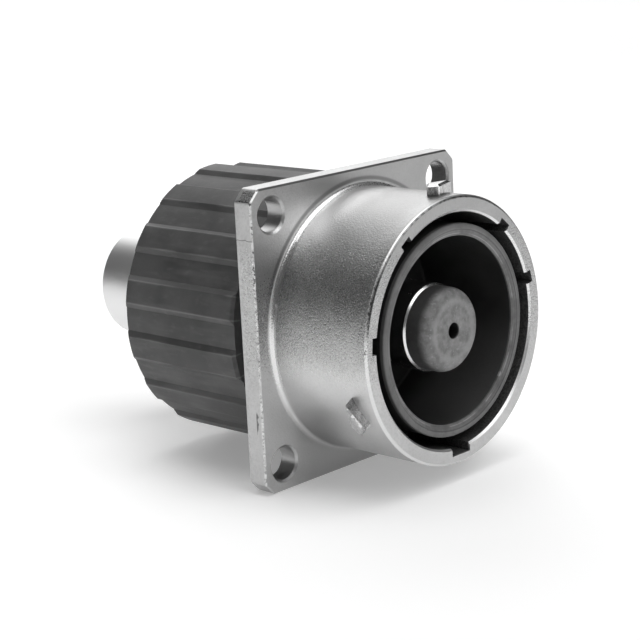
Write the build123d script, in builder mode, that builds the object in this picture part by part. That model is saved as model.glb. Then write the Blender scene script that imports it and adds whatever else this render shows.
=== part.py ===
from build123d import *
import os
from math import cos, radians, sin

# Single-pole power receptacle with a square panel flange, bayonet lugs outside its barrel,
# one large pin contact in an insulator cup, and a ribbed nut that clamps the rear grommet.
# Millimetres. The connector axis is Y: the mating face looks towards -Y and the cable
# leaves towards +Y. The origin is on that axis, in the rear face of the flange.

# Front barrel and its keyed mouth
barrel_length = 20.25
barrel_radius = 22.0
barrel_wall = 2.7
barrel_foot_fillet = 0.9
mouth_depth = 13.25
rim_outer_break = 0.4
rim_inner_break = 0.35
web_thickness = 4.0
keyway_depth = 1.25
keyways = ((-90.0, 4.5), (15.5, 2.1), (50.0, 2.4), (125.5, 2.3), (175.0, 2.7))

# Flange
flange_margin = 3.0
flange_thickness = 3.5
flange_corner_cut = 1.9
flange_corner_rounding = 0.7
flange_edge_break = 0.25
screw_edge_distance = 4.5
screw_hole_radius = 2.75
screw_hole_break = 0.4

# Bayonet lugs: a kite outline that points along the tangent, and a round shank
lug_angles = (90.0, 210.0, 330.0)
lug_setback = 3.95
lug_height = 1.7
lug_tail = 4.7
lug_tail_drop = 0.3
lug_nose = 1.7
lug_front = 1.5
lug_front_lead = 0.35
lug_back = 1.4
lug_edge_break = 0.35
lug_shank_radius = 1.0
lug_shank_depth = 2.0
press_clearance = 0.02

# Rear barrel: its thread is plain at the pitch line
rear_barrel_wall = 1.15
thread_relief_depth = 0.35
thread_relief_length = 5.8
thread_edge_break = 0.6
shell_rear_lip = 1.2

# Insulators
mating_gap = 2.0
insulator_wall = 1.9
sleeve_clearance = 0.15
sleeve_setback = 1.3
insert_shoulder = 0.7
insert_clearance = 0.2
front_flange_length = 7.5
rear_insulator_length = 8.5
cavity_floor = 3.5
cavity_fillet = 0.4

# Seals
face_seal_thickness = 0.75
face_seal_overlap = 0.1
face_seal_flat = 0.95
face_seal_dish = 0.45
face_seal_rounding = 0.25
face_seal_tongue_length = 1.5
face_seal_tongue_width = 0.7
groove_gasket_thickness = 1.2
groove_gasket_gap = 0.1
o_ring_section = 1.2
o_ring_groove_length = 1.5
insulator_o_ring_setback = 3.2
contact_o_ring_setback = 5.4
nut_o_ring_section = 1.7
nut_o_ring_setback = 4.4
nut_o_ring_gap = 0.3
seal_gap = 0.03

# Contact: pin, collar and crimp barrel, with a touch-proof cap in the pin's end
pin_radius = 7.25
pin_length = 14.25
pin_end_break = 0.3
pin_foot_step = 1.0
crimp_radius = 10.0
crimp_wall = 2.25
crimp_bore_depth = 22.0
crimp_overhang = 22.3
crimp_edge_break = 0.5
drill_point = 3.2
collar_step = 1.8
collar_length = 4.0
collar_flat_depth = 1.2
collar_clearance = 0.1
cap_length = 4.25
cap_rounding = 1.9
cap_hole_radius = 1.35
cap_stem_radius = 3.2
cap_stem_length = 7.0
cap_stem_end_gap = 0.5

# Retaining ring on the contact
retaining_ring_thickness = 1.1
retaining_ring_width = 2.4
retaining_groove_depth = 0.6
retaining_ring_opening = 6.0
ring_fit = 0.05

# Lock ring and washer behind the insulators
insert_washer_thickness = 0.8
lock_ring_length = 3.5
lock_ring_width = 4.1
lock_ring_slots = 4
lock_ring_slot_width = 3.0
lock_ring_slot_depth = 1.5
lock_ring_fit = 0.05

# Ribbed nut
nut_gap = 3.9
nut_length = 26.4
nut_wall = 2.0
nut_floor = 4.5
nut_end_break = 0.5
nut_running_clearance = 0.08
nut_counterbore_depth = 2.6
nut_opening_break = 0.6
rib_height = 0.65
rib_count = 15
rib_phase = 168.0
rib_crest_angle = 9.6
rib_base_angle = 14.0

# Thrust washer and its snap ring, inside the nut
thrust_washer_thickness = 1.5
thrust_washer_gap = 0.3
thrust_washer_hole_gap = 0.4
snap_ring_thickness = 1.0
snap_ring_overlap = 0.4
snap_groove_depth = 0.75
snap_ring_setback = 0.2
snap_ring_opening = 9.0

# Grommet between the lock ring and the thrust washer
grommet_nose_gap = 0.3
grommet_tail_length = 4.5
grommet_tail_wall = 2.9
grommet_tail_gap = 0.6
grommet_edge_break = 0.8

# Places along the axis
flange_front = -flange_thickness
rim = flange_front - barrel_length
groove_floor = rim + mouth_depth
web_rear = groove_floor + web_thickness
insulator_joint = web_rear + front_flange_length
insulators_rear = insulator_joint + rear_insulator_length
washer_rear = insulators_rear + insert_washer_thickness
lock_ring_rear = washer_rear + lock_ring_length
shell_rear = lock_ring_rear + shell_rear_lip
sleeve_front = rim + sleeve_setback
collar_front = insulator_joint - collar_length / 2
collar_rear = insulator_joint + collar_length / 2
cavity_bottom = collar_front - cavity_floor
pin_tip = cavity_bottom - pin_length
cap_front = pin_tip - cap_length
retaining_ring_front = insulators_rear + ring_fit
retaining_ring_rear = retaining_ring_front + retaining_ring_thickness
grommet_front = retaining_ring_rear + ring_fit
nut_rear = nut_gap + nut_length
nut_bottom = nut_rear - nut_floor
thrust_front = nut_bottom - thrust_washer_thickness
snap_ring_rear = thrust_front - snap_ring_setback
snap_ring_front = snap_ring_rear - snap_ring_thickness
grommet_rear = thrust_front + grommet_tail_length
crimp_rear = nut_rear + crimp_overhang

# Sizes that follow from their neighbours
flange_side = 2 * (barrel_radius + flange_margin)
screw_spacing = flange_side - 2 * screw_edge_distance
lug_top = barrel_radius + lug_height
mouth_radius = barrel_radius - barrel_wall
sleeve_radius = mouth_radius - mating_gap
cavity_radius = sleeve_radius - insulator_wall
web_radius = sleeve_radius + sleeve_clearance
insert_radius = sleeve_radius + insert_shoulder
shell_bore_radius = insert_radius + insert_clearance
thread_radius = shell_bore_radius + rear_barrel_wall
relief_radius = thread_radius - thread_relief_depth
lock_ring_radius = shell_bore_radius - lock_ring_fit
lock_ring_inner_radius = lock_ring_radius - lock_ring_width
tongue_inner_radius = cavity_radius + (insulator_wall - face_seal_tongue_width) / 2
tongue_outer_radius = tongue_inner_radius + face_seal_tongue_width
cap_radius = pin_radius - pin_end_break
pin_foot_radius = pin_radius + pin_foot_step
crimp_bore_radius = crimp_radius - crimp_wall
collar_radius = crimp_radius + collar_step
retaining_groove_radius = crimp_radius - retaining_groove_depth
nut_bore_radius = thread_radius + nut_running_clearance
nut_counterbore_radius = relief_radius + nut_o_ring_section + nut_o_ring_gap
nut_valley_radius = nut_counterbore_radius + nut_wall
rib_crest_radius = nut_valley_radius + rib_height
grommet_tail_radius = crimp_radius + grommet_tail_wall
nut_opening_radius = grommet_tail_radius + grommet_tail_gap
thrust_washer_radius = nut_bore_radius - thrust_washer_gap
thrust_washer_hole_radius = grommet_tail_radius + thrust_washer_hole_gap
snap_ring_inner_radius = thrust_washer_radius - snap_ring_overlap
snap_groove_radius = nut_bore_radius + snap_groove_depth


def turn(*outline, mode=Mode.ADD):
    """Turn a closed (radius, y) outline about the connector axis."""
    with BuildSketch(Plane.XY) as section:
        with BuildLine():
            Polyline(*outline, close=True)
        make_face()
    revolve(section.sketch, axis=Axis.Y, mode=mode)


def ring(inner, outer, front, rear, mode=Mode.ADD):
    """Turn a plain ring between two radii and two places along the axis."""
    turn((inner, front), (outer, front), (outer, rear), (inner, rear), mode=mode)


def o_ring(inner, y, section):
    """Turn a round cord that lies on an inner radius about the connector axis."""
    with BuildSketch(Plane.XY) as cord:
        with Locations((inner + section / 2, y)):
            Circle(section / 2 - seal_gap)
    revolve(cord.sketch, axis=Axis.Y)


def circles_at(part, radius, y):
    """Circular edges of one radius in one plane across the axis."""
    circles = part.edges().filter_by(GeomType.CIRCLE)
    return [c for c in circles if abs(c.radius - radius) < 1e-4 and abs(c.center().Y - y) < 1e-4]


def across(y):
    """Plane across the axis at y, facing the mating side, with its x along X and its y along Z."""
    return Plane.XZ.offset(-y)


def radial(angle, radius):
    """Plane square to the radius at an angle, among the lugs, with its y towards the rim."""
    outward = (cos(radians(angle)), 0, sin(radians(angle)))
    tangent = (-sin(radians(angle)), 0, cos(radians(angle)))
    return Plane((0, rim + lug_setback, 0), x_dir=tangent, z_dir=outward).offset(radius)


def collar_outline(clearance):
    """The contact's collar, round with two flats that stop it turning."""
    Circle(collar_radius + clearance)
    across_flats = 2 * (collar_radius - collar_flat_depth + clearance)
    Rectangle(across_flats, 2 * (collar_radius + clearance), mode=Mode.INTERSECT)


os.makedirs("parts", exist_ok=True)

# Shell: the flange, the front barrel with its keyed mouth, and the threaded rear barrel
with BuildPart() as shell:
    with BuildSketch(across(0)) as flange_outline:
        Rectangle(flange_side, flange_side)
        chamfer(flange_outline.vertices(), flange_corner_cut)
        fillet(flange_outline.vertices(), flange_corner_rounding)
    extrude(amount=flange_thickness)
    chamfer(shell.faces().sort_by(Axis.Y)[0].edges(), flange_edge_break)
    turn(
        (0, flange_front),
        (0, rim),
        (barrel_radius - rim_outer_break, rim),
        (barrel_radius, rim + rim_outer_break),
        (barrel_radius, flange_front),
    )
    fillet(circles_at(shell, barrel_radius, flange_front), barrel_foot_fillet)
    turn(
        (0, 0),
        (relief_radius, 0),
        (relief_radius, thread_relief_length - thread_relief_depth),
        (thread_radius, thread_relief_length),
        (thread_radius, shell_rear - thread_edge_break),
        (thread_radius - thread_edge_break, shell_rear),
        (0, shell_rear),
    )
    turn(
        (0, rim),
        (mouth_radius + rim_inner_break, rim),
        (mouth_radius, rim + rim_inner_break),
        (mouth_radius, groove_floor),
        (web_radius, groove_floor),
        (web_radius, web_rear),
        (shell_bore_radius, web_rear),
        (shell_bore_radius, shell_rear),
        (0, shell_rear),
        mode=Mode.SUBTRACT,
    )
    for angle, width in keyways:
        with BuildSketch(across(rim)):
            with PolarLocations(mouth_radius, 1, start_angle=angle):
                Rectangle(2 * keyway_depth, width)
        extrude(amount=-mouth_depth, mode=Mode.SUBTRACT)
    with Locations(across(flange_front)):
        with GridLocations(screw_spacing, screw_spacing, 2, 2):
            Hole(screw_hole_radius, depth=flange_thickness)
    chamfer(circles_at(shell, screw_hole_radius, flange_front), screw_hole_break)
    for angle in lug_angles:
        with BuildSketch(radial(angle, lug_top)):
            Circle(lug_shank_radius + press_clearance)
        extrude(amount=-(lug_height + lug_shank_depth), mode=Mode.SUBTRACT)
shell.part.label = "shell"
export_step(shell.part, "parts/shell.step")

# Bayonet lugs: kite-shaped heads that sit on the barrel, each with a shank pressed into it
lug_outline = (
    (-lug_tail, -lug_tail_drop),
    (0, -lug_back),
    (lug_nose, 0),
    (lug_front_lead, lug_front),
)
lug_seat_radius = barrel_radius + press_clearance
for number, angle in enumerate(lug_angles, start=1):
    with BuildPart() as bayonet_lug:
        with BuildSketch(radial(angle, lug_top)):
            Polygon(*lug_outline, align=None)
        extrude(amount=-2 * lug_height)
        lug_face = bayonet_lug.faces().filter_by(radial(angle, lug_top)).sort_by(SortBy.DISTANCE)[-1]
        chamfer(lug_face.edges(), lug_edge_break)
        with BuildSketch(across(rim)):
            Circle(lug_seat_radius)
        extrude(amount=-2 * lug_setback, mode=Mode.SUBTRACT)
        with BuildSketch(radial(angle, lug_seat_radius - lug_shank_depth)):
            Circle(lug_shank_radius)
        extrude(amount=lug_shank_depth + lug_height / 2)
    bayonet_lug.part.label = f"bayonet_lug_{number}"
    export_step(bayonet_lug.part, f"parts/bayonet_lug_{number}.step")

# Front insulator: a deep cup round the pin, with a flange that seats behind the shell's web
pin_foot_hole_radius = pin_foot_radius + collar_clearance
insulator_groove_middle = web_rear + insulator_o_ring_setback
with BuildPart() as front_insulator:
    turn(
        (cavity_radius, sleeve_front),
        (sleeve_radius, sleeve_front),
        (sleeve_radius, web_rear),
        (insert_radius, web_rear),
        (insert_radius, insulator_joint),
        (pin_foot_hole_radius, insulator_joint),
        (pin_foot_hole_radius, cavity_bottom),
        (cavity_radius, cavity_bottom),
    )
    ring(
        tongue_inner_radius - seal_gap,
        tongue_outer_radius + seal_gap,
        sleeve_front,
        sleeve_front + face_seal_tongue_length + seal_gap,
        mode=Mode.SUBTRACT,
    )
    ring(
        shell_bore_radius - o_ring_section,
        shell_bore_radius,
        insulator_groove_middle - o_ring_groove_length / 2,
        insulator_groove_middle + o_ring_groove_length / 2,
        mode=Mode.SUBTRACT,
    )
    with BuildSketch(across(insulator_joint)):
        collar_outline(collar_clearance)
    extrude(amount=collar_length / 2, mode=Mode.SUBTRACT)
    fillet(circles_at(front_insulator, cavity_radius, cavity_bottom), cavity_fillet)
front_insulator.part.label = "front_insulator"
export_step(front_insulator.part, "parts/front_insulator.step")

# Face seal: a rubber ring on the cup's front end, held by a tongue in the cup's wall. Its front
# is flat outside and slopes back to the cup's mouth inside.
face_seal_front = sleeve_front - face_seal_thickness
face_seal_radius = sleeve_radius + face_seal_overlap
with BuildPart() as face_seal:
    turn(
        (cavity_radius, sleeve_front),
        (cavity_radius, face_seal_front + face_seal_dish),
        (face_seal_radius - face_seal_flat, face_seal_front),
        (face_seal_radius, face_seal_front),
        (face_seal_radius, sleeve_front),
    )
    fillet(circles_at(face_seal, face_seal_radius, face_seal_front), face_seal_rounding)
    ring(tongue_inner_radius, tongue_outer_radius, sleeve_front, sleeve_front + face_seal_tongue_length)
face_seal.part.label = "face_seal"
export_step(face_seal.part, "parts/face_seal.step")

# Groove gasket: a flat rubber ring at the bottom of the mating groove
with BuildPart() as groove_gasket:
    ring(
        sleeve_radius + groove_gasket_gap,
        mouth_radius - groove_gasket_gap,
        groove_floor - groove_gasket_thickness,
        groove_floor,
    )
groove_gasket.part.label = "groove_gasket"
export_step(groove_gasket.part, "parts/groove_gasket.step")

# O-ring between the front insulator and the shell
with BuildPart() as insulator_o_ring:
    o_ring(shell_bore_radius - o_ring_section, insulator_groove_middle, o_ring_section)
insulator_o_ring.part.label = "insulator_o_ring"
export_step(insulator_o_ring.part, "parts/insulator_o_ring.step")

# Rear insulator: clamps the contact's collar against the front insulator
contact_groove_middle = insulator_joint + contact_o_ring_setback
with BuildPart() as rear_insulator:
    ring(crimp_radius + seal_gap, insert_radius, insulator_joint, insulators_rear)
    with BuildSketch(across(insulator_joint)):
        collar_outline(collar_clearance)
    extrude(amount=-collar_length / 2, mode=Mode.SUBTRACT)
    ring(
        crimp_radius,
        crimp_radius + o_ring_section,
        contact_groove_middle - o_ring_groove_length / 2,
        contact_groove_middle + o_ring_groove_length / 2,
        mode=Mode.SUBTRACT,
    )
rear_insulator.part.label = "rear_insulator"
export_step(rear_insulator.part, "parts/rear_insulator.step")

# O-ring between the contact and the rear insulator
with BuildPart() as contact_o_ring:
    o_ring(crimp_radius, contact_groove_middle, o_ring_section)
contact_o_ring.part.label = "contact_o_ring"
export_step(contact_o_ring.part, "parts/contact_o_ring.step")

# Contact: the pin, its foot in the cup's floor, the collar and the crimp barrel, in one piece
with BuildPart() as contact:
    turn(
        (0, pin_tip),
        (pin_radius - pin_end_break, pin_tip),
        (pin_radius, pin_tip + pin_end_break),
        (pin_radius, cavity_bottom),
        (pin_foot_radius, cavity_bottom),
        (pin_foot_radius, collar_front),
        (crimp_radius, collar_front),
        (crimp_radius, retaining_ring_front - ring_fit),
        (retaining_groove_radius, retaining_ring_front - ring_fit),
        (retaining_groove_radius, retaining_ring_rear + ring_fit),
        (crimp_radius, retaining_ring_rear + ring_fit),
        (crimp_radius, crimp_rear - crimp_edge_break),
        (crimp_radius - crimp_edge_break, crimp_rear),
        (0, crimp_rear),
    )
    with BuildSketch(across(collar_rear)):
        collar_outline(0)
    extrude(amount=collar_length)
    turn(
        (0, crimp_rear),
        (crimp_bore_radius + crimp_edge_break, crimp_rear),
        (crimp_bore_radius, crimp_rear - crimp_edge_break),
        (crimp_bore_radius, crimp_rear - crimp_bore_depth),
        (0, crimp_rear - crimp_bore_depth - drill_point),
        mode=Mode.SUBTRACT,
    )
    with Locations(across(pin_tip)):
        Hole(cap_stem_radius + press_clearance, depth=cap_stem_length + cap_stem_end_gap)
contact.part.label = "contact"
export_step(contact.part, "parts/contact.step")

# Touch-proof cap: a rounded plastic tip with a stem in the pin's end and a hole through it
with BuildPart() as contact_cap:
    ring(0, cap_radius, cap_front, pin_tip)
    fillet(circles_at(contact_cap, cap_radius, cap_front), cap_rounding)
    ring(0, cap_stem_radius, pin_tip, pin_tip + cap_stem_length)
    with Locations(across(cap_front)):
        Hole(cap_hole_radius, depth=cap_length + cap_stem_length)
contact_cap.part.label = "contact_cap"
export_step(contact_cap.part, "parts/contact_cap.step")

# Retaining ring: an open snap ring in the contact's groove, behind the rear insulator
retaining_ring_radius = retaining_groove_radius + ring_fit
with BuildPart() as contact_retaining_ring:
    ring(
        retaining_ring_radius,
        retaining_ring_radius + retaining_ring_width,
        retaining_ring_front,
        retaining_ring_rear,
    )
    with BuildSketch(across(retaining_ring_front)):
        with Locations((0, -crimp_radius)):
            Rectangle(retaining_ring_opening, 3 * retaining_ring_width)
    extrude(amount=-retaining_ring_thickness, mode=Mode.SUBTRACT)
contact_retaining_ring.part.label = "contact_retaining_ring"
export_step(contact_retaining_ring.part, "parts/contact_retaining_ring.step")

# Washer between the rear insulator and the lock ring
with BuildPart() as insert_washer:
    ring(lock_ring_inner_radius, lock_ring_radius, insulators_rear, washer_rear)
insert_washer.part.label = "insert_washer"
export_step(insert_washer.part, "parts/insert_washer.step")

# Lock ring: holds the insulators in the shell, with slots for a pin spanner
with BuildPart() as lock_ring:
    ring(lock_ring_inner_radius, lock_ring_radius, washer_rear, lock_ring_rear)
    with BuildSketch(across(lock_ring_rear)):
        with PolarLocations(lock_ring_radius - lock_ring_width / 2, lock_ring_slots):
            Rectangle(2 * lock_ring_width, lock_ring_slot_width)
    extrude(amount=lock_ring_slot_depth, mode=Mode.SUBTRACT)
lock_ring.part.label = "lock_ring"
export_step(lock_ring.part, "parts/lock_ring.step")

# O-ring between the shell and the nut, in the thread relief behind the flange
with BuildPart() as nut_o_ring:
    o_ring(relief_radius, nut_o_ring_setback, nut_o_ring_section)
nut_o_ring.part.label = "nut_o_ring"
export_step(nut_o_ring.part, "parts/nut_o_ring.step")

# Grommet: a rubber plug that the nut presses on the lock ring and round the crimp barrel
with BuildPart() as grommet:
    turn(
        (crimp_radius + seal_gap, grommet_front),
        (lock_ring_inner_radius - grommet_nose_gap, grommet_front),
        (lock_ring_inner_radius - grommet_nose_gap, lock_ring_rear),
        (insert_radius, lock_ring_rear),
        (insert_radius, thrust_front),
        (grommet_tail_radius, thrust_front),
        (grommet_tail_radius, grommet_rear - grommet_edge_break),
        (grommet_tail_radius - grommet_edge_break, grommet_rear),
        (crimp_radius + seal_gap, grommet_rear),
    )
grommet.part.label = "grommet"
export_step(grommet.part, "parts/grommet.step")

# Thrust washer: lets the nut turn without dragging the grommet round
with BuildPart() as thrust_washer:
    ring(thrust_washer_hole_radius, thrust_washer_radius, thrust_front, nut_bottom)
thrust_washer.part.label = "thrust_washer"
export_step(thrust_washer.part, "parts/thrust_washer.step")

# Snap ring: keeps the thrust washer in the nut
snap_ring_radius = snap_groove_radius - ring_fit
with BuildPart() as nut_snap_ring:
    ring(snap_ring_inner_radius, snap_ring_radius, snap_ring_front, snap_ring_rear)
    with BuildSketch(across(snap_ring_front)):
        with Locations((0, -snap_ring_radius)):
            Rectangle(snap_ring_opening, snap_ring_radius)
    extrude(amount=-snap_ring_thickness, mode=Mode.SUBTRACT)
nut_snap_ring.part.label = "nut_snap_ring"
export_step(nut_snap_ring.part, "parts/nut_snap_ring.step")

# Ribbed nut: grip ribs outside, and inside the thread zone, the snap groove and the floor
# that presses the washer
crest_half = radians(rib_crest_angle / 2)
base_half = radians(rib_base_angle / 2)
rib_outline = (
    (0, 0),
    (nut_valley_radius * cos(base_half), -nut_valley_radius * sin(base_half)),
    (rib_crest_radius * cos(crest_half), -rib_crest_radius * sin(crest_half)),
    (rib_crest_radius / cos(crest_half), 0),
    (rib_crest_radius * cos(crest_half), rib_crest_radius * sin(crest_half)),
    (nut_valley_radius * cos(base_half), nut_valley_radius * sin(base_half)),
)
with BuildPart() as ribbed_nut:
    with BuildSketch(across(nut_gap)):
        with PolarLocations(0, rib_count, start_angle=rib_phase):
            Polygon(*rib_outline, align=None)
        Circle(rib_crest_radius, mode=Mode.INTERSECT)
        Circle(nut_valley_radius)
    extrude(amount=-nut_length)
    for end, inward in ((nut_gap, 1), (nut_rear, -1)):
        turn(
            (rib_crest_radius - nut_end_break, end),
            (rib_crest_radius + nut_end_break, end),
            (rib_crest_radius + nut_end_break, end + inward * 2 * nut_end_break),
            mode=Mode.SUBTRACT,
        )
    turn(
        (0, nut_gap),
        (nut_counterbore_radius, nut_gap),
        (nut_counterbore_radius, nut_gap + nut_counterbore_depth),
        (nut_bore_radius, nut_gap + nut_counterbore_depth),
        (nut_bore_radius, nut_bottom),
        (nut_opening_radius, nut_bottom),
        (nut_opening_radius, nut_rear - nut_opening_break),
        (nut_opening_radius + nut_opening_break, nut_rear),
        (0, nut_rear),
        mode=Mode.SUBTRACT,
    )
    ring(
        snap_ring_inner_radius,
        snap_groove_radius,
        snap_ring_front - ring_fit,
        snap_ring_rear + ring_fit,
        mode=Mode.SUBTRACT,
    )
ribbed_nut.part.label = "ribbed_nut"
export_step(ribbed_nut.part, "parts/ribbed_nut.step")
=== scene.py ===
from math import cos, pi, radians, sin, tau

import bpy
from mathutils import Matrix, Vector


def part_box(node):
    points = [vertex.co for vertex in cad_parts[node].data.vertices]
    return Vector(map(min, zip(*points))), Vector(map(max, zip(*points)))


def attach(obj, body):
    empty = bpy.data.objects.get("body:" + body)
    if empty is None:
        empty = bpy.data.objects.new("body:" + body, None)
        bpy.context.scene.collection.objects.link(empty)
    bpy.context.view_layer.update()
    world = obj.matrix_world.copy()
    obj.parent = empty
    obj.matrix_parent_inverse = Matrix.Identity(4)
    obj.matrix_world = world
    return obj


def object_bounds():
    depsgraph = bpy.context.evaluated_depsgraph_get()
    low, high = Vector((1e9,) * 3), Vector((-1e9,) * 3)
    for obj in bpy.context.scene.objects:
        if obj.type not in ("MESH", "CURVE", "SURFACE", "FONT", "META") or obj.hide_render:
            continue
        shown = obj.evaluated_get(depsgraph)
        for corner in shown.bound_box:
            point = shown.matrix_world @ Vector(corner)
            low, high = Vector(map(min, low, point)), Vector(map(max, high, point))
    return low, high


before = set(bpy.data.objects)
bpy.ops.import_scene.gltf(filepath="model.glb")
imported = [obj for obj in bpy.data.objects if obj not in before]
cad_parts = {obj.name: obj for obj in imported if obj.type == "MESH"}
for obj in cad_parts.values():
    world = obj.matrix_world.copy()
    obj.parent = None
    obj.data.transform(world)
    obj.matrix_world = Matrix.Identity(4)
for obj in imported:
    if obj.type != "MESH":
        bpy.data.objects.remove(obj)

cad_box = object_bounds()

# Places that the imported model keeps, in metres. The connector axis is Y, and the mating side looks to -Y.
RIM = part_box("shell")[0][1]
GROOVE_FLOOR = -0.0105
MOUTH_RADIUS = 0.0193
KEYWAY_RADIUS = 0.02055
BARREL_RADIUS = 0.022
SLEEVE_RADIUS = 0.0173
FLANGE_FRONT = -0.0035
FLANGE_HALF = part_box("shell")[1][0]
FLANGE_CORNER = 0.0481  # the sum of |x| and |z| on the cut corners
SCREW_PLACE = 0.0205
SCREW_HOLE_RADIUS = 0.00275
LUG_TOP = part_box("bayonet_lug_1")[1][2]
LUG_BREAK = 0.00034
LUG_SETBACK = 0.00395
SEAL_GROOVE_RADIUS = 0.01638
SEAL_BEAD_RADIUS = 0.01575
CAP_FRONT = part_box("contact_cap")[0][1]
CAP_HOLE_RADIUS = 0.00135
RIB_COUNT = 15
RIB_PHASE = 168.0
RIB_CREST_HALF = 4.8
NUT_VALLEY_RADIUS = 0.0215
THREAD_ROOT = 0.0193
THREAD_CREST = 0.01995
THREAD_PITCH = 0.002
THREAD_START = 0.0064
THREAD_TURNS = 4.1


# ---- Nodes ----


def socket_of(sockets, key):
    if isinstance(key, int):
        return sockets[key]
    return next(s for s in sockets if key in (s.identifier, s.name))


def feed(tree, node, values):
    """Give the sockets of a node their values or links."""
    for key, value in values.items():
        target = socket_of(node.inputs, key)
        source = value.socket if isinstance(value, Amount) else value
        if isinstance(source, bpy.types.NodeSocket):
            tree.links.new(source, target)
        else:
            target.default_value = source


def add_node(tree, kind, settings=None, values=None):
    made = tree.nodes.new(kind)
    for name, value in (settings or {}).items():
        setattr(made, name, value)
    feed(tree, made, values or {})
    return made


class Amount:
    """An amount that varies over a surface. Arithmetic on it adds Math nodes."""

    def __init__(self, finish, socket):
        self.finish = finish
        self.socket = socket

    def worked(self, operation, *terms):
        return self.finish.node("Math", {"operation": operation}, dict(enumerate(terms)))

    def __add__(self, other):
        return self.worked("ADD", self, other)

    def __sub__(self, other):
        return self.worked("SUBTRACT", self, other)

    def __rsub__(self, other):
        return self.worked("SUBTRACT", other, self)

    def __mul__(self, other):
        return self.worked("MULTIPLY", self, other)

    def __abs__(self):
        return self.worked("ABSOLUTE", self)

    __radd__ = __add__
    __rmul__ = __mul__

    def root(self):
        return self.worked("SQRT", self)

    def wave(self):
        return self.worked("SINE", self)

    def angle_to(self, other):
        return self.worked("ARCTAN2", self, other)

    def most(self, *others):
        greatest = self
        for other in others:
            greatest = self.worked("MAXIMUM", greatest, other)
        return greatest

    def ramp(self, start, end):
        """0 before start and 1 after end, with a soft step between them; end may come first."""
        limits = {"Value": self, "From Min": start, "From Max": end}
        return self.finish.node("MapRange", {"interpolation_type": "SMOOTHSTEP"}, limits)

    def between(self, low, high, soft):
        """1 between low and high, with soft sides."""
        return self.ramp(low - soft, low + soft) * self.ramp(high + soft, high - soft)

    def near(self, place, reach, full):
        """1 within the distance full of a place, and 0 beyond the distance reach."""
        return abs(self - place).ramp(reach, full)

    def also(self, name):
        return Amount(self.finish, self.socket.node.outputs[name])


def across(first, second):
    """Distance from the crossing of two lines, from the distances along them."""
    return (first * first + second * second).root()


def grey(value):
    return (value, value, value, 1.0)


class Finish:
    """A surface finish: its material, the shader of it, and the nodes that vary it."""

    def __init__(self, holder, shader, **constants):
        holder.use_nodes = True
        self.holder = holder
        self.tree = holder.node_tree
        self.shader = self.tree.nodes[shader]
        for name, value in constants.items():
            self.shader.inputs[name.replace("_", " ")].default_value = value

    def node(self, kind, settings=None, values=None, output=0):
        made = add_node(self.tree, f"ShaderNode{kind}", settings, values)
        return Amount(self, socket_of(made.outputs, output))

    def vary(self, **values):
        feed(self.tree, self.shader, {name.replace("_", " "): value for name, value in values.items()})

    def place(self):
        """The point of the piece, in metres: x, y and z."""
        x = self.node("SeparateXYZ", values={0: self.node("TexCoord", output="Object")})
        return x, x.also("Y"), x.also("Z")

    def radius(self):
        x, _, z = self.place()
        return across(x, z)

    def grain(self, size, stretch=(1.0, 1.0, 1.0), detail=2.0, roughness=0.5, shift=0.0, spot=None):
        """Noise with patches of about the given size, from 0 to 1 round 0.5."""
        spot = spot or self.node("TexCoord", output="Object")
        placed = self.node("Mapping", values={0: spot, 1: (shift, shift, shift), 3: stretch})
        values = {"Vector": placed, "Scale": 1.0 / size, "Detail": detail, "Roughness": roughness}
        return self.node("TexNoise", values=values)

    def mixed(self, amount, first, second):
        return self.node(
            "Mix",
            {"data_type": "RGBA", "clamp_factor": True},
            {"Factor_Float": amount, "A_Color": first, "B_Color": second},
            "Result_Color",
        )

    def shade(self, amount, first, second):
        return self.mixed(amount, grey(first), grey(second))

    def coats(self, colour, *layers):
        """A colour with layers over it, each an amount and a grey or a colour, the last one on top."""
        for amount, over in layers:
            colour = self.mixed(amount, colour, over if isinstance(over, Amount) else grey(over))
        return colour

    def relief(self, height, depth):
        return self.node("Bump", values={"Strength": 1.0, "Distance": depth, "Height": height})


def finish(name, **constants):
    return Finish(bpy.data.materials.new(name), "Principled BSDF", **constants)


# ---- Finish of the shell ----


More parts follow.
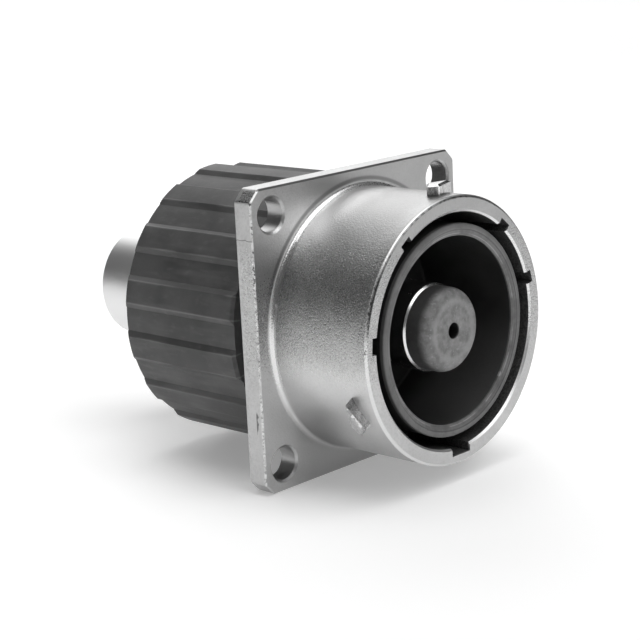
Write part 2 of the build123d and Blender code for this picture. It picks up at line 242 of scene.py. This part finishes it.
class ShellPlaces:
    """Amounts from 0 to 1 that mark places on the shell."""

    def __init__(self, made):
        self.x, self.y, self.z = x, y, z = made.place()
        self.radius = radius = across(x, z)

        # Inside: the mouth, its keyways and the bores, but not the rim's chamfer or the rear barrel
        mouth = radius.ramp(KEYWAY_RADIUS + 0.0003, KEYWAY_RADIUS + 0.0002)
        mouth = mouth * y.ramp(GROOVE_FLOOR + 0.0005, GROOVE_FLOOR)
        bores = radius.ramp(SLEEVE_RADIUS + 0.0007, SLEEVE_RADIUS + 0.0006)
        self.inside = mouth.most(bores) * y.between(RIM + 0.00037, 0.030, 0.00003)

        # Flange: its front, its left side, its upright edges in front, which get a painted highlight, its top
        # edge in front, which gets a painted dark line of shade, and its screw holes, which get painted shade
        self.front = y.near(FLANGE_FRONT, 0.00012, 0.00006)
        self.left_side = x.ramp(-FLANGE_HALF + 0.00012, -FLANGE_HALF + 0.00004)
        edge = abs(x).ramp(FLANGE_HALF - 0.00030, FLANGE_HALF - 0.00022)
        self.edge = edge * y.near(FLANGE_FRONT, 0.0004, 0.0002)
        top = z.ramp(FLANGE_HALF - 0.00036, FLANGE_HALF - 0.00028)
        self.top_break = top * y.ramp(FLANGE_FRONT + 0.00030, FLANGE_FRONT + 0.00022)
        from_hole = across(abs(x) - SCREW_PLACE, abs(z) - SCREW_PLACE)
        self.in_hole = from_hole.ramp(SCREW_HOLE_RADIUS + 0.00006, SCREW_HOLE_RADIUS + 0.00003)

        # The cut corners at the top of the flange, which get painted shade, and the front edge of them, which
        # gets a painted highlight
        outward = abs(x) + abs(z)
        corner = outward.ramp(FLANGE_CORNER - 0.00015, FLANGE_CORNER - 0.00005)
        corner = corner * y.between(FLANGE_FRONT + 0.00025, -0.00065, 0.0001)
        self.corner = corner * z.between(0.0, 0.0247, 0.0002)
        corner_edge = outward.ramp(FLANGE_CORNER - 0.00038, FLANGE_CORNER - 0.00028)
        self.corner_edge = corner_edge * y.near(FLANGE_FRONT, 0.0003, 0.0002) * z.ramp(0.0, 0.001)

        # Barrel: its outside, its foot on the flange with a line round it, and the chamfers of the rim. The
        # foot, its line and the rim's outer chamfer get painted highlights, the foot's fading towards the
        # bottom, and the rim's line gets a painted dark line of shade
        self.barrel = radius.near(BARREL_RADIUS, 0.0006, 0.0002)
        foot = radius.near(BARREL_RADIUS + 0.0003, 0.0007, 0.0003)
        foot = foot * y.between(FLANGE_FRONT - 0.0011, FLANGE_FRONT, 0.0001)
        self.foot = foot * (0.25 + z.ramp(-0.016, -0.004) * 0.75)
        foot_line = radius.near(BARREL_RADIUS + 0.00078, 0.00024, 0.00012)
        self.foot_line = foot_line * self.foot * z.ramp(-0.008, 0.007)
        # The mouth's inner chamfer, which gets a painted highlight.
        mouth_lip = radius.ramp(KEYWAY_RADIUS, MOUTH_RADIUS + 0.0004)
        self.mouth_lip = mouth_lip * y.between(RIM + 0.00003, RIM + 0.00037, 0.00003)
        rim_break = radius.ramp(BARREL_RADIUS - 0.00044, BARREL_RADIUS - 0.00036)
        self.rim_break = rim_break * y.ramp(RIM + 0.00042, RIM + 0.00036)
        rim_line = radius.near(BARREL_RADIUS - 0.00035, 0.00018, 0.00011)
        self.rim_line = rim_line * y.ramp(RIM + 0.00045, RIM + 0.00040) * z.ramp(0.002, 0.008)

        # Finer blasting high and low on the metal, and an even one on the far side and behind
        high = (self.front * z.ramp(0.006, 0.018)).most(z.ramp(0.0130, 0.0185) * 0.8)
        smooth = high.most(z.ramp(-0.001, -0.0110)) * 0.75 * (1.0 - self.corner)
        even = x.ramp(0.002, 0.010).most(y.ramp(-0.0008, -0.0003))
        even = even * y.ramp(RIM + 0.0005, RIM + 0.0015) * (1.0 - self.front)
        self.smooth = smooth + (0.45 - smooth) * even


def painted_shoulder_highlight(at):
    """The barrel's upper side close to the flange, where a highlight is painted."""
    within = at.radius.ramp(BARREL_RADIUS + 0.0006, BARREL_RADIUS + 0.0002)
    wide = within * at.y.ramp(-0.0135, -0.0060) * at.z.ramp(0.0140, 0.0180)
    return wide.most(within * at.y.ramp(-0.0090, -0.0045) * at.z.ramp(0.0115, 0.0160))


def painted_belly_reflection(at):
    """The barrel's lower side, and the flange left of it, where a lighter reflection is painted."""
    flange = at.front * at.z.between(-0.0210, -0.0035, 0.0020) * at.x.ramp(-0.0150, -0.0190)
    return (at.barrel * at.z.between(-0.0175, -0.0025, 0.0030)).most(flange * 0.7)


def painted_shade_patches(at):
    """Painted shade above, below and beside the barrel on the flange's front, and on the rim's upper face."""
    x, y, z = at.x, at.y, at.z
    above = z.ramp(0.010, 0.018) * (x.ramp(-0.016, -0.006) * 0.7 + x.near(-0.0080, 0.0065, 0.0010) * 0.5)
    below = z.ramp(-0.010, -0.019) * (0.4 + x.ramp(-0.021, -0.012) * 0.65)
    beside = x.ramp(-0.0150, -0.0200) * z.between(0.0015, 0.0140, 0.0030) * 0.75
    rim = y.ramp(RIM + 0.00012, RIM + 0.00006) * z.ramp(0.0, 0.016) * 0.7
    return (at.front * above.most(below, beside)).most(rim)


def side_marks(made, at):
    """On the flange's left side: a scratch across it, and a few dark pits lower down."""
    wobble = made.grain(0.0011, detail=1.0, shift=0.13) - 0.5
    scratch = (at.z - wobble * 0.0006).near(0.0170, 0.00013, 0.00003)
    streaks = made.grain(0.0008, stretch=(1.0, 1.0, 0.35), detail=2.0, shift=0.42)
    pits = streaks.ramp(0.50, 0.58) * at.z.near(-0.0137, 0.0030, 0.0022)
    pits = pits * at.y.near(-0.0025, 0.00045, 0.00025)
    return (scratch * 0.7).most(pits * 0.9) * at.left_side


def edge_nicks(at, speck, peened):
    """Small dark nicks in the rim's chamfer and in the flange's upright edges."""
    on_rim = at.rim_break * at.z.between(0.0, 0.0115, 0.001) * at.x.ramp(0.0, -0.004)
    return (at.rim_line * speck.ramp(0.54, 0.62)).most(
        at.edge * peened.ramp(0.53, 0.62) * (0.5 + at.z.ramp(0.006, 0.012) * 0.4),
        on_rim * peened.ramp(0.52, 0.60) * 0.8,
    )


def blasted_nickel():
    """Bead-blasted plating of the shell: coated black inside, drilled in its holes, with painted highlights on
    its edges, foot and rim, and painted shade round the barrel, on its corners and in its holes.
    """
    made = finish("blasted_nickel", Specular_IOR_Level=0.5)
    at = ShellPlaces(made)
    fine = made.grain(0.00029, detail=2.5, roughness=0.64)
    cloud = made.grain(0.006, detail=3.0, shift=0.31)
    speck = made.grain(0.0009, detail=2.0, shift=0.77)
    peened = made.grain(0.00040, detail=2.0, shift=0.55)
    drilled = (at.y * (tau / 0.00052) + cloud * 3.0).wave() * at.in_hole
    # The barrel's top towards the rim is darkened with painted shade.
    painted_crest_shade = at.barrel * at.y.between(-0.0215, -0.0105, 0.0025) * at.z.ramp(0.0160, 0.0195)
    # A dark ring of painted shadow on the flange's front, just outside the barrel's foot.
    painted_foot_shadow = at.radius.near(BARREL_RADIUS + 0.00125, 0.00055, 0.0001) * at.front * at.z.ramp(0.002, 0.012)
    plate = made.coats(
        made.shade(cloud.ramp(0.30, 0.75), 0.50, 0.57),
        (peened.ramp(0.42, 0.70) * (0.42 - at.smooth * 0.34), 0.28),
        # painted highlight on the barrel's upper side next to the flange
        (painted_shoulder_highlight(at) * 0.85, 0.90),
        # painted shade on the barrel's top towards the rim
        (painted_crest_shade * 0.6, 0.36),
        # painted reflection, lighter, on the barrel's lower side and the flange left of it
        (painted_belly_reflection(at) * 0.6, 0.76),
        # painted shade on the flange's front round the barrel and on the rim's upper face
        (painted_shade_patches(at) * 0.8, 0.38),
        # painted shadow ring beside the barrel's foot
        (painted_foot_shadow * 0.8, 0.18),
        # painted highlight, in flecks, along the flange's upright front edges
        (at.edge * (0.15 + speck.ramp(0.35, 0.62) * 0.75), 0.80),
        # painted highlights on the barrel's foot and the rim's outer chamfer
        (at.foot.most(at.rim_break), 0.76),
        # brighter painted highlights on the foot's line and the cut corners' front edge
        (at.foot_line.most(at.corner_edge), 0.92),
        # painted dark line of shade round the rim's outer chamfer
        (at.rim_line, 0.24),
        # painted highlight on the mouth's inner chamfer
        (at.mouth_lip, 0.80),
        # painted shade on the cut corners and along the flange's top front edge
        ((at.corner * (0.5 + speck * 0.5)).most(at.top_break), 0.18),
        # painted shade in the screw holes
        (at.in_hole * 0.8, 0.40),
        (side_marks(made, at).most(edge_nicks(at, speck, peened)), 0.12),
        (at.inside, made.shade(fine.ramp(0.35, 0.7), 0.030, 0.110)),
    )
    blasting = (1.0 - at.in_hole * 0.85) * (1.0 - at.foot.most(at.rim_break, at.smooth) * 0.8)
    duller = at.inside * 0.12 - at.foot * 0.05 + at.foot_line * 0.15 + at.smooth * 0.11
    made.vary(
        Base_Color=plate,
        Metallic=1.0 - at.inside - at.foot_line * 0.55,
        Roughness=0.27 + (fine - 0.5) * 0.20 + (cloud - 0.5) * 0.05 + duller,
        Normal=made.relief(fine * blasting + drilled * 0.06, 0.00012),
    )
    return made.holder


# ---- Finishes of the other pieces ----


def lug_steel(name, angle, nose_shade, tail_shade):
    """Steel of a bayonet lug at an angle round the barrel: dark marks on its walls, painted shade on its walls
    by the nose and the tail as much as each lug is given, worn top edges, and a painted highlight on its front
    corner.
    """
    made = finish(name, Metallic=1.0)
    spot = made.node("TexCoord", output="Object")
    upright = made.node("Mapping", values={0: spot, 2: (0.0, radians(angle - 90.0), 0.0)})
    along = made.node("SeparateXYZ", values={0: upright})
    to_rim = RIM + LUG_SETBACK - along.also("Y")
    out = along.also("Z")
    marks = made.grain(0.0007, stretch=(1.0, 1.0, 0.4), detail=3.0, roughness=0.6, spot=upright)
    fine = made.grain(0.0004, detail=2.0)
    wall = out.ramp(LUG_TOP - LUG_BREAK, LUG_TOP - LUG_BREAK - 0.00008)
    worn = out.between(LUG_TOP - LUG_BREAK, LUG_TOP - 0.00004, 0.00006)
    # A painted highlight along the upright corner at the lug's front.
    corner_highlight = across(along + 0.00035, to_rim - 0.0015).ramp(0.00028, 0.00015) * wall
    # Painted shade on the walls near the nose and the tail, in the amounts given for this lug.
    painted_wall_shade = along.ramp(-0.00035, -0.00060) * nose_shade + along.ramp(0.0018, 0.0036) * tail_shade
    made.vary(
        Base_Color=made.coats(
            made.shade(fine.ramp(0.35, 0.75), 0.50, 0.62),
            (wall * marks.ramp(0.52, 0.66) * 0.4, 0.16),
            (wall * painted_wall_shade * (0.6 + marks.ramp(0.40, 0.58) * 0.4), 0.07),
            (worn, made.shade(marks.ramp(0.50, 0.60), 0.32, 0.72)),
            (corner_highlight, 0.90),
        ),
        Roughness=0.17 + fine * 0.12 + wall * 0.05,
        Normal=made.relief(fine + marks * wall, 0.000014),
    )
    return made.holder


def silver_plate():
    """Silver plating of the contact: smooth on the pin, satin on the crimp barrel."""
    made = finish("silver_plate", Metallic=1.0)
    _, y, _ = made.place()
    cloud = made.grain(0.004, detail=3.0)
    fine = made.grain(0.00045, stretch=(1.0, 5.0, 1.0), detail=2.0, shift=0.4)
    behind = y.ramp(0.020, 0.024)
    turned = (y * (tau / 0.00035) + cloud * 2.0).wave() * behind
    made.vary(
        Base_Color=made.coats(made.shade(cloud.ramp(0.35, 0.75), 0.88, 0.80), (behind, 0.80)),
        Roughness=0.19 + cloud * 0.08 + fine * 0.05 + behind * 0.14,
        Normal=made.relief(turned * 0.4 + fine * (0.25 + behind * 0.75), 0.000004),
    )
    return made.holder


def grey_rubber():
    """Silicone of the face seal, with a fine groove between its flat and its sloping part, painted shade on
    its outer flat and in the groove, and a painted highlight on the bead at its inner edge.
    """
    made = finish("grey_rubber", Specular_IOR_Level=0.5)
    x, _, z = made.place()
    radius = across(x, z)
    cloud = made.grain(0.0035, detail=3.0)
    fine = made.grain(0.00035, detail=2.0, shift=0.2)
    mottle = made.grain(0.0009, detail=3.0, roughness=0.6, shift=0.7)
    groove = radius.near(SEAL_GROOVE_RADIUS, 0.00016, 0.00005)
    bead = radius.near(SEAL_BEAD_RADIUS, 0.00012, 0.00004)
    nick = across(x - 0.0117, z + 0.0098).ramp(0.0006, 0.0003)
    made.vary(
        Base_Color=made.coats(
            made.shade((cloud * 0.6 + mottle * 0.4).ramp(0.36, 0.64), 0.110, 0.175),
            # painted shade on the outer flat
            (radius.ramp(0.01650, 0.01695) * 0.5, 0.085),
            # painted shade in the groove
            (groove * 0.55, 0.060),
            # painted highlight, broken up, on the bead at the inner edge
            (bead * cloud.ramp(0.42, 0.58) * 0.7, 0.34),
            (nick * 0.6, 0.40),
        ),
        Roughness=0.32 + fine * 0.14,
        Normal=made.relief(fine * 0.4 + cloud - groove * 2.0 + bead, 0.00003),
    )
    return made.holder


def moulded_black():
    """Glass-filled black plastic of the insulators, with painted light on its lower right, and darker with
    painted shade and duller where the cup is deep.
    """
    made = finish("moulded_black", Specular_IOR_Level=0.5)
    x, y, z = made.place()
    fine = made.grain(0.0005, detail=3.0)
    cloud = made.grain(0.005, detail=2.0, shift=0.3)
    # Where the cup is deep: darker with painted shade, and duller.
    deep = y.ramp(-0.0125, -0.0050)
    # Painted light on the lower right of the cup's wall.
    dust_and_painted_light = (x - z).ramp(0.010, 0.022) * z.ramp(0.002, -0.006)
    made.vary(
        Base_Color=made.coats(
            made.shade(cloud.ramp(0.3, 0.7), 0.014, 0.024),
            # painted light on the lower right
            (dust_and_painted_light * (0.7 + fine * 0.5), 0.060),
            # painted shade deep in the cup
            (deep, 0.004),
        ),
        Roughness=0.40 + fine * 0.14 + deep * 0.25,
        Normal=made.relief(fine, 0.000012),
    )
    return made.holder


def cap_plastic():
    """Mottled grey plastic of the touch-proof cap, with a painted highlight round its flat face, painted shade
    on its side and in its hole.
    """
    made = finish("cap_plastic", Specular_IOR_Level=0.5)
    x, y, z = made.place()
    radius = across(x, z)
    fine = made.grain(0.00035, detail=3.0)
    cloud = made.grain(0.0016, detail=4.0, roughness=0.65, shift=0.6)
    speckle = made.grain(0.0005, detail=2.0, shift=0.25)
    side = y.ramp(CAP_FRONT + 0.0006, CAP_FRONT + 0.0022)
    # A painted highlight round the flat face.
    painted_ring_highlight = radius.between(0.0043, 0.0052, 0.0004)
    bore = radius.ramp(CAP_HOLE_RADIUS + 0.00005, CAP_HOLE_RADIUS - 0.00001)
    bore = bore * y.ramp(CAP_FRONT + 0.00005, CAP_FRONT + 0.0004)
    made.vary(
        Base_Color=made.coats(
            made.shade(cloud.ramp(0.30, 0.72), 0.14, 0.26),
            (speckle.ramp(0.58, 0.74) * 0.5, 0.38),
            # painted shade on the cap's side
            (side * 0.8, 0.065),
            # painted highlight round the flat face
            (painted_ring_highlight * (0.35 + cloud * 0.5), 0.30),
            # painted shade in the cap's hole
            (bore, 0.006),
        ),
        Roughness=0.42 + cloud * 0.14,
        Normal=made.relief(fine * 0.6 + cloud, 0.000025),
    )
    return made.holder


def nut_plastic():
    """Dark moulded plastic of the ribbed nut, dusty in places, with lighter edges on its ribs."""
    made = finish("nut_plastic", Specular_IOR_Level=0.5)
    x, _, z = made.place()
    fine = made.grain(0.0004, detail=3.0)
    streak = made.grain(0.0022, stretch=(1.0, 0.18, 1.0), detail=3.0, shift=0.5)
    cloud = made.grain(0.007, detail=3.0, shift=0.9)
    dust_and_painted_light = made.grain(0.0009, stretch=(1.0, 0.4, 1.0), detail=3.0, shift=0.3)
    ribs = (z.angle_to(x) * RIB_COUNT + radians(90.0 - RIB_PHASE * RIB_COUNT)).wave()
    rib_edge = ribs.near(cos(radians(RIB_CREST_HALF * RIB_COUNT)), 0.14, 0.03)
    rib_edge = rib_edge * across(x, z).ramp(NUT_VALLEY_RADIUS, NUT_VALLEY_RADIUS + 0.0005)
    made.vary(
        Base_Color=made.coats(
            made.shade(cloud.ramp(0.30, 0.72), 0.053, 0.080),
            (streak.ramp(0.45, 0.75) * 0.6 + dust_and_painted_light.ramp(0.55, 0.75) * 0.35, 0.115),
            (rib_edge * streak.ramp(0.40, 0.62) * 0.8, 0.17),
        ),
        Roughness=0.46 + fine * 0.12 + streak * 0.06,
        Normal=made.relief(fine + streak * 0.5, 0.000014),
    )
    return made.holder


def black_rubber():
    """Dull black rubber of the gasket, the O-rings and the grommet."""
    made = finish("black_rubber", Specular_IOR_Level=0.4)
    fine = made.grain(0.0004, detail=3.0)
    cloud = made.grain(0.003, detail=2.0, shift=0.5)
    made.vary(
        Base_Color=made.shade(cloud.ramp(0.3, 0.7), 0.014, 0.026),
        Roughness=0.60 + fine * 0.15,
        Normal=made.relief(fine, 0.00002),
    )
    return made.holder


def ground_steel():
    """Ground steel of the washers and the snap rings, with fine scratches round the axis."""
    made = finish("ground_steel", Metallic=1.0)
    cloud = made.grain(0.003, detail=3.0)
    rings = (made.radius() * (tau / 0.00022) + cloud * 4.0).wave()
    made.vary(
        Base_Color=made.shade(cloud.ramp(0.3, 0.7), 0.50, 0.58),
        Roughness=0.28 + cloud * 0.12,
        Normal=made.relief(rings, 0.000003),
    )
    return made.holder


def plated_ring():
    """Plated aluminium of the lock ring, with turning marks round the axis."""
    made = finish("plated_ring", Metallic=1.0)
    fine = made.grain(0.0005, detail=2.0)
    rings = (made.radius() * (tau / 0.00030) + fine * 2.0).wave()
    made.vary(
        Base_Color=made.shade(fine.ramp(0.3, 0.7), 0.52, 0.60),
        Roughness=0.30 + fine * 0.12,
        Normal=made.relief(rings * 0.5 + fine, 0.000004),
    )
    return made.holder


NICKEL = blasted_nickel()
INSULATOR_BLACK = moulded_black()
RUBBER = black_rubber()
STEEL = ground_steel()
FINISH_OF = {
    "shell": NICKEL,
    # The three lugs get different amounts of painted shade on their walls.
    "bayonet_lug_1": lug_steel("lug_steel_top", 90.0, 0.85, 0.1),
    "bayonet_lug_2": lug_steel("lug_steel_left", 210.0, 0.1, 0.6),
    "bayonet_lug_3": lug_steel("lug_steel_right", 330.0, 0.4, 0.4),
    "face_seal": grey_rubber(),
    "front_insulator": INSULATOR_BLACK,
    "rear_insulator": INSULATOR_BLACK,
    "contact": silver_plate(),
    "contact_cap": cap_plastic(),
    "ribbed_nut": nut_plastic(),
    "groove_gasket": RUBBER,
    "insulator_o_ring": RUBBER,
    "contact_o_ring": RUBBER,
    "nut_o_ring": RUBBER,
    "grommet": RUBBER,
    "contact_retaining_ring": STEEL,
    "insert_washer": STEEL,
    "thrust_washer": STEEL,
    "nut_snap_ring": STEEL,
    "lock_ring": plated_ring(),
}
for node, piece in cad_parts.items():
    for place in piece.material_slots:
        place.material = FINISH_OF[node]


# ---- Screw thread on the rear barrel ----


def thread_tree():
    """A ridge that winds round the connector axis and fades out at its two ends."""
    tree = bpy.data.node_groups.new("screw_thread", "GeometryNodeTree")
    sizes = {
        "Turns": ("NodeSocketFloat", 4.0),
        "Pitch": ("NodeSocketFloat", 0.002),
        "Root Radius": ("NodeSocketFloat", 0.019),
        "Ridge Height": ("NodeSocketFloat", 0.0006),
        "Start": ("NodeSocketFloat", 0.0),
        "Finish": ("NodeSocketMaterial", None),
    }
    for name, (kind, value) in sizes.items():
        socket = tree.interface.new_socket(name, in_out="INPUT", socket_type=kind)
        if value is not None:
            socket.default_value = value
    tree.interface.new_socket("Geometry", in_out="OUTPUT", socket_type="NodeSocketGeometry")

    def node(kind, settings=None, values=None):
        return add_node(tree, kind, settings, values).outputs

    def maths(operation, *terms):
        return node("ShaderNodeMath", {"operation": operation}, dict(enumerate(terms)))[0]

    given = node("NodeGroupInput")
    spiral = node(
        "GeometryNodeCurveSpiral",
        values={
            "Resolution": 96,
            "Rotations": given["Turns"],
            "Start Radius": given["Root Radius"],
            "End Radius": given["Root Radius"],
            "Height": maths("MULTIPLY", given["Turns"], given["Pitch"]),
        },
    )
    steady = node("GeometryNodeSetCurveNormal", {"mode": "Z_UP"}, {"Curve": spiral[0]})
    along = node("GeometryNodeSplineParameter")["Factor"]
    from_end = maths("MINIMUM", along, maths("SUBTRACT", 1.0, along))
    faded = maths("MINIMUM", 1.0, maths("ADD", 0.12, maths("MULTIPLY", from_end, 14.0)))
    ridge = node(
        "GeometryNodeCurvePrimitiveQuadrilateral",
        {"mode": "TRAPEZOID"},
        {
            "Bottom Width": maths("MULTIPLY", given["Pitch"], 0.62),
            "Top Width": maths("MULTIPLY", given["Pitch"], 0.16),
            "Offset": 0.0,
            "Height": maths("MULTIPLY", given["Ridge Height"], 2.0),
        },
    )
    turned = node("GeometryNodeTransform", values={"Geometry": ridge[0], "Rotation": (0.0, 0.0, -pi / 2)})
    swept = node(
        "GeometryNodeCurveToMesh",
        values={"Curve": steady[0], "Profile Curve": turned[0], "Scale": faded, "Fill Caps": True},
    )
    start = node("ShaderNodeCombineXYZ", values={"Y": given["Start"]})
    stood = node(
        "GeometryNodeTransform",
        values={"Geometry": swept[0], "Rotation": (-pi / 2, 0.0, 0.0), "Translation": start[0]},
    )
    real = node("GeometryNodeRealizeInstances", values={0: stood[0]})
    coated = node("GeometryNodeSetMaterial", values={"Geometry": real[0], "Material": given["Finish"]})
    node("NodeGroupOutput", values={"Geometry": coated[0]})
    return tree


def grown(name, tree, **inputs):
    """Run a Geometry Nodes tree on an empty object and keep its result as a plain mesh."""
    seed = bpy.data.objects.new(name + "_seed", bpy.data.meshes.new(name + "_seed"))
    bpy.context.collection.objects.link(seed)
    modifier = seed.modifiers.new("grown", "NODES")
    modifier.node_group = tree
    for item in tree.interface.items_tree:
        key = item.name.replace(" ", "_").lower()
        if item.in_out == "INPUT" and key in inputs:
            modifier[item.identifier] = inputs[key]
    bpy.context.view_layer.update()
    ready = seed.evaluated_get(bpy.context.evaluated_depsgraph_get())
    mesh = bpy.data.meshes.new_from_object(ready)
    seed.modifiers.remove(modifier)
    bpy.data.objects.remove(seed)
    piece = bpy.data.objects.new(name, mesh)
    bpy.context.collection.objects.link(piece)
    return piece


rear_thread = grown(
    "rear_thread",
    thread_tree(),
    turns=THREAD_TURNS,
    pitch=THREAD_PITCH,
    root_radius=THREAD_ROOT,
    ridge_height=THREAD_CREST - THREAD_ROOT,
    start=THREAD_START,
    finish=NICKEL,
)
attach(rear_thread, "receptacle")


# ---- Floor, light and camera ----

FLOOR_Z = cad_box[0][2] - 0.0001
FLOOR_HALF = 6.0
VIEW_AZIMUTH = -46.18
VIEW_ELEVATION = 13.35
VIEW_ROLL = -2.85
VIEW_DISTANCE = 0.3015
VIEW_AIM = Vector((-0.01058, -0.0035, 0.00148))
LENS_LENGTH = 103.65


def pale_floor():
    """A wide plain light table under the connector, brightest in its middle."""
    sides = ((-1, -1), (1, -1), (1, 1), (-1, 1))
    corners = [(x * FLOOR_HALF, y * FLOOR_HALF, FLOOR_Z) for x, y in sides]
    mesh = bpy.data.meshes.new("pale_floor")
    mesh.from_pydata(corners, [], [(0, 1, 2, 3)])
    made = finish("pale_floor", Emission_Strength=1.0)
    cloud = made.grain(0.35, detail=2.0)
    x, y, _ = made.place()
    made.vary(
        Base_Color=made.shade(cloud, 0.88, 0.91),
        Roughness=0.65 + cloud * 0.1,
        Emission_Color=made.shade(across(x, y).ramp(0.40, 0.06), 0.20, 0.24),
    )
    mesh.materials.append(made.holder)
    floor = bpy.data.objects.new("pale_floor", mesh)
    bpy.context.collection.objects.link(floor)
    return floor


pale_floor()


def towards(azimuth, elevation):
    """Direction from the connector: azimuth 0 is the mating side, 90 is +X."""
    a, e = radians(azimuth), radians(elevation)
    return Vector((sin(a) * cos(e), -cos(a) * cos(e), sin(e)))


def studio_room():
    """Dim room with soft lights overhead, behind on the right and high in front; white to the camera."""
    room = Finish(bpy.data.worlds.new("studio_room"), "Background", Strength=1.0)
    look = room.node("TexCoord", output="Generated")
    height = room.node("SeparateXYZ", values={0: look}, output="Z")

    def facing(azimuth, elevation):
        directions = {0: look, 1: towards(azimuth, elevation)}
        return room.node("VectorMath", {"operation": "DOT_PRODUCT"}, directions, "Value")

    def round_light(azimuth, elevation, reach, full):
        return facing(azimuth, elevation).ramp(cos(radians(reach)), cos(radians(full)))

    overhead = height.ramp(sin(radians(60)), sin(radians(78)))
    behind = facing(147, 35).ramp(0.85, 0.99)
    in_front = round_light(3, 47, 24, 13).most(round_light(42, 58, 17, 10))
    level = 0.105 + overhead * 3.0 + behind * 1.55 + in_front * 1.9
    seen = room.node("LightPath", output="Is Camera Ray")
    room.vary(Color=room.mixed(seen, level, grey(1.0)))
    bpy.context.scene.world = room.holder


def softbox(name, azimuth, elevation, distance, width, height, power):
    """A rectangular light that shines on the connector from a direction and isn't seen itself."""
    light = bpy.data.lights.new(name, "AREA")
    light.shape = "RECTANGLE"
    light.size = width
    light.size_y = height
    light.energy = power
    lamp = bpy.data.objects.new(name, light)
    away = towards(azimuth, elevation)
    lamp.matrix_world = Matrix.Translation(away * distance) @ away.to_track_quat("Z", "Y").to_matrix().to_4x4()
    lamp.visible_camera = False
    bpy.context.collection.objects.link(lamp)


def camera_view():
    """The photograph's viewing angle."""
    azimuth, roll = radians(VIEW_AZIMUTH), radians(VIEW_ROLL)
    back = towards(VIEW_AZIMUTH, VIEW_ELEVATION)
    level_right = Vector((cos(azimuth), sin(azimuth), 0.0))
    level_up = back.cross(level_right)
    right = level_right * cos(roll) + level_up * sin(roll)
    up = level_up * cos(roll) - level_right * sin(roll)
    turn = Matrix((right, up, back)).transposed().to_4x4()
    lens = bpy.data.cameras.new("viewpoint")
    lens.sensor_width = 36.0
    lens.lens = LENS_LENGTH
    lens.clip_start = 0.01
    camera = bpy.data.objects.new("viewpoint", lens)
    camera.matrix_world = Matrix.Translation(VIEW_AIM + back * VIEW_DISTANCE) @ turn
    bpy.context.collection.objects.link(camera)
    bpy.context.scene.camera = camera


studio_room()
softbox("rear_softbox", 140, 16, 0.60, 0.36, 0.18, 0.23)
camera_view()
bpy.context.scene.view_settings.view_transform = "Standard"
